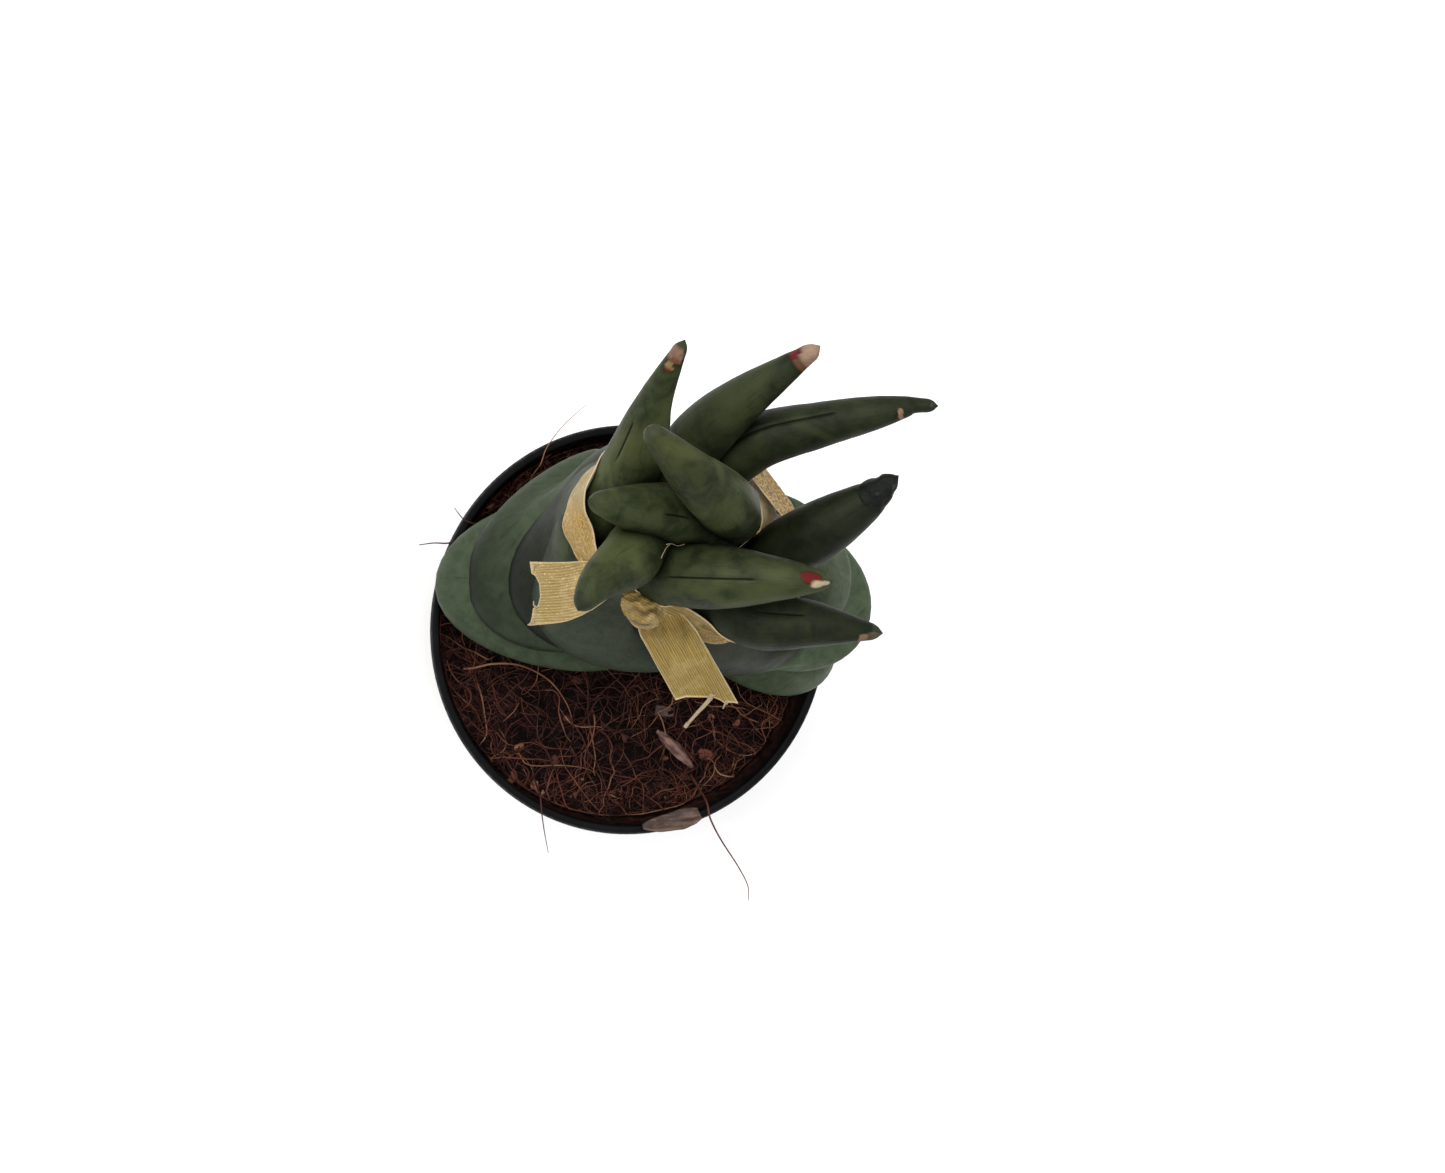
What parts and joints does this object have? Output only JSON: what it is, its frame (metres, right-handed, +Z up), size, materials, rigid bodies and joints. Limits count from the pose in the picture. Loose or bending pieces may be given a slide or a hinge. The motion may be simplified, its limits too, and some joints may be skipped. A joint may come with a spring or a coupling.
{
  "type": "potted twister cylindrical snake plant",
  "caption": "Succulent with thick cylindrical leaves that spiral up from clasping feet, gathered by a ribbon tie, in a thin round nursery pot of coir soil.",
  "frame": {"origin": "middle of the pot's flat base", "axes": "+Z up along the pot's axis; the leaf feet fan out along X, and the side with most open soil is towards -Y"},
  "size_m": [0.1105, 0.1352, 0.1967],
  "materials": {
    "pot": "thin black moulded plastic, slightly worn lip",
    "soil": "damp dark coir mix with loose strands",
    "husk": "dry papery coconut husk",
    "leaf": "waxy matte dark green skin with faint lengthwise lines",
    "ribbon": "woven gold lurex ribbon with pale frayed ends"
  },
  "bodies": {
    "root": {"pot": "pot", "soil": "soil", "husk_flake": "husk", "husk_spindle": "husk", "husk_chip": "husk", "leaf_1": "leaf", "leaf_2": "leaf", "leaf_3": "leaf", "leaf_4": "leaf", "leaf_5": "leaf", "leaf_6": "leaf", "leaf_7": "leaf", "leaf_8": "leaf", "leaf_9": "leaf", "basal_leaf_left": "leaf", "basal_leaf_right": "leaf", "ribbon": "ribbon"}
  },
  "joints": []
}
